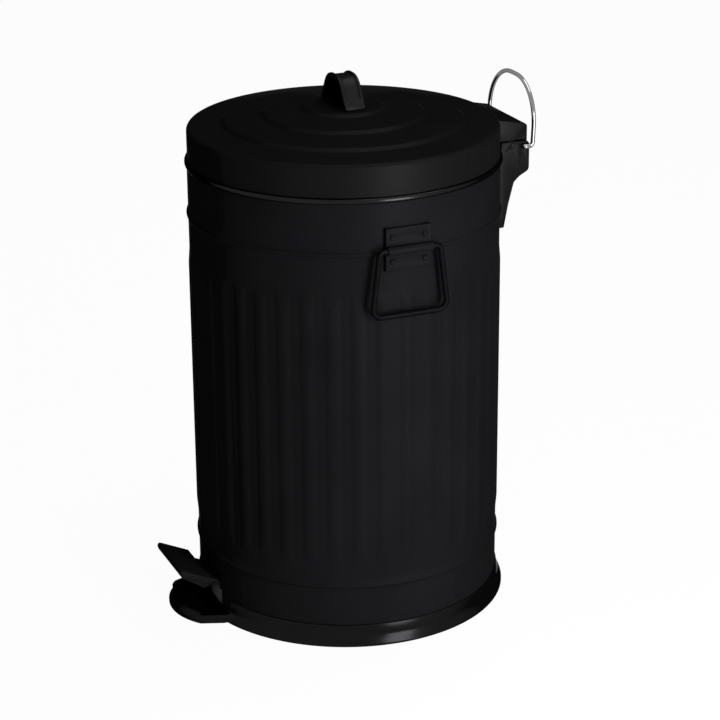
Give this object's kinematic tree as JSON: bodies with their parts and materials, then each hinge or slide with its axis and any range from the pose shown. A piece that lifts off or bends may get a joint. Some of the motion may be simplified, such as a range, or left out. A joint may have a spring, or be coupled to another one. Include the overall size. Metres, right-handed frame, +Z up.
{
  "type": "pedal trash can",
  "caption": "Round fluted steel pedal bin with a stepped hinged lid, strap grip, drop handles, wire carry bail, inner bucket and a foot pedal that lifts the lid by a rod.",
  "frame": {"origin": "centre of the body's axis on the floor plane", "axes": "+Z up, -Y towards the pedal, +Y towards the lid's hinge, side handles on +X and -X"},
  "size_m": [0.2982, 0.3488, 0.491],
  "materials": {
    "body_paint": "satin black powder coat",
    "rim_paint": "glossy black enamel",
    "lid_paint": "satin black powder coat",
    "grip_paint": "satin black powder coat",
    "plate_paint": "satin black powder coat",
    "wire_paint": "glossy black enamel",
    "pan_paint": "matte black paint",
    "base_plastic": "glossy black",
    "hinge_plastic": "semi-gloss black",
    "pedal_plastic": "matte black",
    "black_plastic": "matte black",
    "bucket_plastic": "matte dark grey",
    "zinc_steel": "zinc plated",
    "spring_steel": "dark spring steel",
    "black_steel": "blackened steel",
    "chrome_wire": "bright chrome",
    "bucket_wire": "bright zinc"
  },
  "bodies": {
    "bin": {"outer_shell": "body_paint", "body_rim": "rim_paint", "base_ring": "base_plastic", "floor_pan": "pan_paint", "pedal_bracket": "zinc_steel", "bracket_rivets": "zinc_steel", "pedal_axle": "zinc_steel", "axle_clips": "spring_steel", "rod_guide": "black_plastic", "hinge_bracket": "hinge_plastic", "bracket_screws": "zinc_steel", "hinge_pin": "black_steel", "handle_plate_left": "plate_paint", "handle_plate_right": "plate_paint", "handle_rivets": "plate_paint"},
    "lid": {"lid_shell": "lid_paint", "lid_hinge_block": "hinge_plastic", "lid_block_screws": "zinc_steel", "lid_crank": "zinc_steel", "lid_grip": "grip_paint", "grip_screws": "zinc_steel"},
    "pedal": {"pedal_lever": "zinc_steel", "pedal_pad": "pedal_plastic", "pad_rivets": "zinc_steel"},
    "rod": {"push_rod": "zinc_steel", "rod_clips": "spring_steel"},
    "side_handle_left": {"side_handle_left": "wire_paint"},
    "side_handle_right": {"side_handle_right": "wire_paint"},
    "carry_bail": {"carry_bail": "chrome_wire"},
    "bucket": {"inner_bucket": "bucket_plastic"},
    "bucket_bail": {"bucket_bail": "bucket_wire"}
  },
  "joints": [
    {"name": "lid_hinge", "type": "hinge", "parent": "bin", "child": "lid", "pos_m": [0, 0.148, 0.4175], "axis": [-1, 0, 0], "range_deg": [0, 60]},
    {"name": "rod_slide", "type": "slide", "parent": "bin", "child": "rod", "axis": [0, 0, 1], "range_m": [0, 0.0208]},
    {"name": "pedal_pivot", "type": "hinge", "parent": "bin", "child": "pedal", "pos_m": [0, -0.02, 0.026], "axis": [1, 0, 0], "range_deg": [0, 7.95]},
    {"name": "side_handle_left_pivot", "type": "hinge", "parent": "bin", "child": "side_handle_left", "pos_m": [-0.14535, 0, 0.371], "axis": [0, 1, 0], "range_deg": [0, 170]},
    {"name": "side_handle_right_pivot", "type": "hinge", "parent": "bin", "child": "side_handle_right", "pos_m": [0.14535, 0, 0.371], "axis": [0, -1, 0], "range_deg": [0, 170]},
    {"name": "carry_bail_pivot", "type": "hinge", "parent": "bin", "child": "carry_bail", "pos_m": [0, 0.1575, 0.4165], "axis": [-1, 0, 0], "range_deg": [0, 120]},
    {"name": "bucket_lift", "type": "slide", "parent": "bin", "child": "bucket", "axis": [0, 0, 1], "range_m": [0, 0.018]},
    {"name": "bucket_bail_pivot", "type": "hinge", "parent": "bucket", "child": "bucket_bail", "pos_m": [0, 0, 0.3983], "axis": [-1, 0, 0], "range_deg": [0, 11]}
  ],
  "couplings": [
    {"joint": "rod_slide", "follows": "lid_hinge", "m_per_rad": 0.019848},
    {"joint": "pedal_pivot", "follows": "lid_hinge", "ratio": 0.13232}
  ]
}
